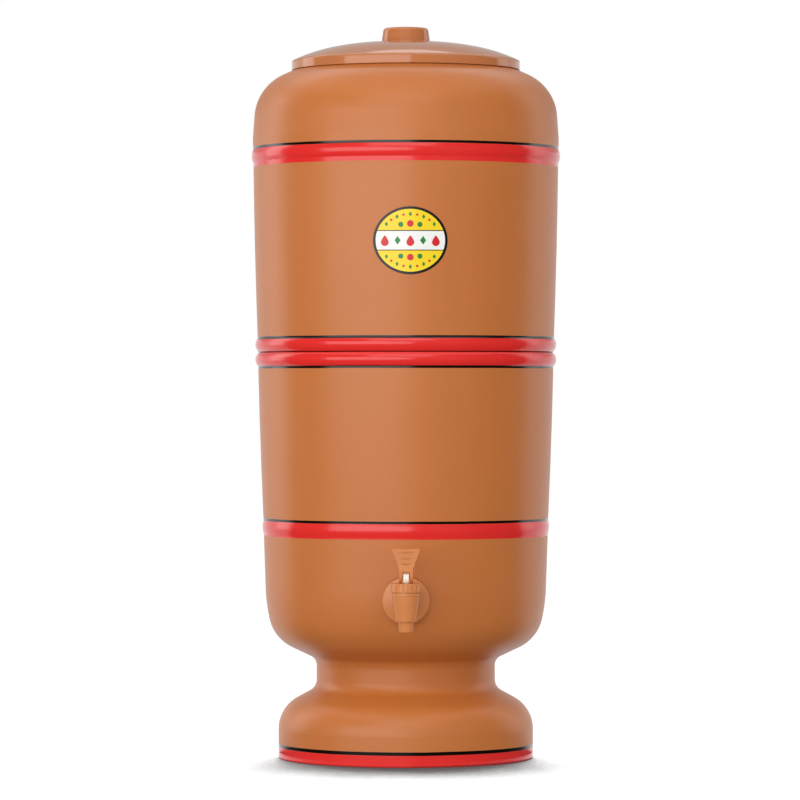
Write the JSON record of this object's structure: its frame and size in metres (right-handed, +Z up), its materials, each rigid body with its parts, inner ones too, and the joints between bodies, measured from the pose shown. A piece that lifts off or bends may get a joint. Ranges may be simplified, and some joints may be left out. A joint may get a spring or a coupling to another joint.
{
  "type": "clay water pot with tap",
  "caption": "Stacked clay pots with a filter candle between them, a plastic lid and a lever tap on the lower pot.",
  "frame": {"origin": "centre of the ring that the foot stands on, on the pots' common axis", "axes": "+Z up along the pots' axis, -Y towards the tap, +X to the right of a person who faces the tap"},
  "size_m": [0.2496, 0.2799, 0.5905],
  "materials": {
    "clay": "unglazed, matt",
    "lid_plastic": "glossy",
    "tap_plastic": "glossy",
    "stem_plastic": "satin",
    "silicone": "matt",
    "gasket_rubber": "matt",
    "nut_plastic": "matt",
    "candle_ceramic": "matt",
    "carbon": "matt",
    "candle_plastic": "satin",
    "float_plastic": "satin",
    "pin_steel": "bright",
    "label_vinyl": "glossy"
  },
  "bodies": {
    "lower_pot": {"lower_chamber": "clay", "tap_body": "tap_plastic", "tap_bonnet": "tap_plastic", "tap_seat_cup": "silicone", "tap_outer_gasket": "gasket_rubber", "tap_inner_gasket": "gasket_rubber", "tap_lock_nut": "nut_plastic"},
    "stem": {"tap_stem": "stem_plastic"},
    "lever": {"tap_lever": "tap_plastic", "tap_lever_pin": "pin_steel"},
    "upper_pot": {"upper_chamber": "clay", "label": "label_vinyl", "candle_ceramic": "candle_ceramic", "candle_core": "carbon", "candle_base": "candle_plastic", "candle_gasket": "gasket_rubber", "candle_lower_washer": "gasket_rubber", "candle_wing_nut": "candle_plastic", "float_valve_body": "candle_plastic", "float_hinge_pin": "pin_steel"},
    "float": {"float_arm": "float_plastic", "float_valve_pad": "gasket_rubber", "float_lower_half": "float_plastic", "float_upper_half": "float_plastic"},
    "lid": {"lid": "lid_plastic"}
  },
  "joints": [
    {"name": "stem_lift", "type": "slide", "parent": "lower_pot", "child": "stem", "axis": [0, 0, 1], "range_m": [0, 0.0021], "deforming": ["tap_seat_cup"]},
    {"name": "lever_turn", "type": "hinge", "parent": "stem", "child": "lever", "pos_m": [0, -0.1435, 0.151], "axis": [1, 0, 0], "range_deg": [0, 90]},
    {"name": "upper_pot_lift", "type": "slide", "parent": "lower_pot", "child": "upper_pot", "axis": [0, 0, 1], "range_m": [0, 0.15]},
    {"name": "float_swing", "type": "hinge", "parent": "upper_pot", "child": "float", "pos_m": [0.013, 0, 0.279], "axis": [0, 1, 0], "range_deg": [0, 20]},
    {"name": "lid_lift", "type": "slide", "parent": "upper_pot", "child": "lid", "axis": [0, 0, 1], "range_m": [0, 0.08]}
  ],
  "couplings": [
    {"joint": "stem_lift", "follows": "lever_turn", "m_per_rad": 0.0012732}
  ]
}
